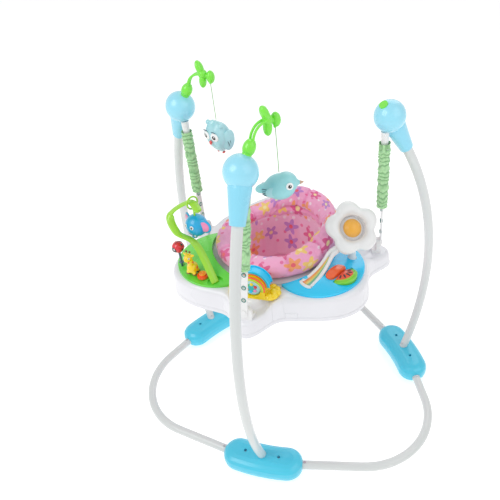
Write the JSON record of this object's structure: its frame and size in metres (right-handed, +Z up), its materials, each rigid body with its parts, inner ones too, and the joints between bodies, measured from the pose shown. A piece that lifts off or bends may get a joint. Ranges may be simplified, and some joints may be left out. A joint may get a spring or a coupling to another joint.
{
  "type": "baby jumper frame",
  "caption": "Bouncing baby jumper: bowed poles on a ring of base tubes carry a clover-shaped play tray on sleeved springs, with a swivel seat, toy stations and hanging toys.",
  "frame": {"origin": "on the floor, under the middle of the frame's box", "axes": "+Z up, -Y towards the front pole, X across; the frame's poles and base tubes mirror in X"},
  "size_m": [0.814, 0.7712, 0.9022],
  "materials": {
    "tube": "satin",
    "blue_shell": "gloss",
    "rubber": "matte",
    "steel": "satin",
    "head_blue": "gloss",
    "white": "gloss",
    "sleeve": "matte",
    "lime": "gloss",
    "green": "gloss",
    "sky": "gloss",
    "yellow": "gloss",
    "orange": "gloss",
    "clear": "clear",
    "teal": "gloss",
    "red": "gloss",
    "pale_blue": "gloss",
    "string": "matte",
    "grey": "satin",
    "pink": "soft"
  },
  "bodies": {
    "frame": {"base_tube_left": "tube", "base_tube_right": "tube", "base_tube_back": "tube", "foot_cover_front": "blue_shell", "foot_cover_right": "blue_shell", "foot_cover_left": "blue_shell", "foot_base_front": "blue_shell", "foot_base_right": "blue_shell", "foot_base_left": "blue_shell", "foot_pads": "rubber", "foot_screws": "steel", "snap_buttons": "steel", "upright_front": "tube", "upright_right": "tube", "upright_left": "tube", "head_socket_front": "head_blue", "head_socket_right": "head_blue", "head_socket_left": "head_blue", "head_ball_front": "head_blue", "head_ball_right": "head_blue", "head_ball_left": "head_blue", "spring_hangers": "white", "spring_front": "steel", "spring_right": "steel", "spring_left": "steel", "sleeve_front": "sleeve", "sleeve_right": "sleeve", "sleeve_left": "sleeve", "toy_arm_front": "lime", "toy_arm_left": "lime", "arm_plug": "lime"},
    "tray": {"strap_front": "white", "strap_right": "white", "strap_left": "white", "strap_brackets": "white", "tray_top": "white", "tray_base": "white", "green_panel": "green", "green_arch": "lime", "front_toy": "yellow", "front_toy_arch": "sky", "blue_panel": "sky", "ramp": "white", "flower": "white", "flower_lamp": "orange", "flower_dome": "clear"},
    "seat": {"seat_ring": "grey", "seat_retainer": "grey", "seat_pad": "pink"},
    "elephant_body": {"elephant": "sky"},
    "ladybird_body": {"ladybird": "red"},
    "giraffe_body": {"giraffe": "yellow"},
    "knob_body": {"knob": "orange"},
    "drum_body": {"toy_drum": "teal"},
    "button_body": {"play_button": "orange"},
    "melon_body": {"melon_button": "green"},
    "owl_body": {"owl": "pale_blue", "owl_string": "string"},
    "bird_body": {"bird": "pale_blue", "bird_string": "string"}
  },
  "joints": [
    {"name": "bounce", "type": "slide", "parent": "frame", "child": "tray", "axis": [0, 0, 1], "range_m": [-0.06, 0.03], "stiffness_N_per_m": 3000, "springref_m": 0.01136, "deforming": ["spring_front", "spring_right", "spring_left", "sleeve_front", "sleeve_right", "sleeve_left"]},
    {"name": "seat_turn", "type": "hinge", "parent": "tray", "child": "seat", "pos_m": [-0.016, -0.01066, 0.485], "axis": [0, 0, 1], "continuous": true},
    {"name": "elephant_swing", "type": "hinge", "parent": "tray", "child": "elephant_body", "pos_m": [-0.16862, -0.10485, 0.64962], "axis": [0.8897, -0.4566, 0], "range_deg": [-4, 4]},
    {"name": "ladybird_turn", "type": "hinge", "parent": "tray", "child": "ladybird_body", "pos_m": [-0.20974, -0.13652, 0.505], "axis": [0, 0, 1], "continuous": true},
    {"name": "giraffe_turn", "type": "hinge", "parent": "tray", "child": "giraffe_body", "pos_m": [-0.17134, -0.16127, 0.505], "axis": [0, 0, 1], "continuous": true},
    {"name": "knob_turn", "type": "hinge", "parent": "tray", "child": "knob_body", "pos_m": [-0.14467, -0.16861, 0.505], "axis": [0, 0, 1], "continuous": true},
    {"name": "drum_turn", "type": "hinge", "parent": "tray", "child": "drum_body", "pos_m": [-0.016, -0.18766, 0.5136], "axis": [0, 1, 0], "continuous": true},
    {"name": "button_press", "type": "slide", "parent": "tray", "child": "button_body", "axis": [0, 0, -1], "range_m": [0, 0.003], "stiffness_N_per_m": 600, "springref_m": -0.001},
    {"name": "melon_press", "type": "slide", "parent": "tray", "child": "melon_body", "axis": [0, 0, -1], "range_m": [0, 0.003], "stiffness_N_per_m": 600, "springref_m": -0.001},
    {"name": "owl_swing", "type": "hinge", "parent": "frame", "child": "owl_body", "pos_m": [-0.14746, 0.04137, 0.8587], "axis": [0.0698, 0.9976, 0], "range_deg": [-15, 15]},
    {"name": "bird_swing", "type": "hinge", "parent": "frame", "child": "bird_body", "pos_m": [0.04937, -0.14902, 0.8587], "axis": [-0.809, 0.5878, 0], "range_deg": [-15, 15]}
  ]
}
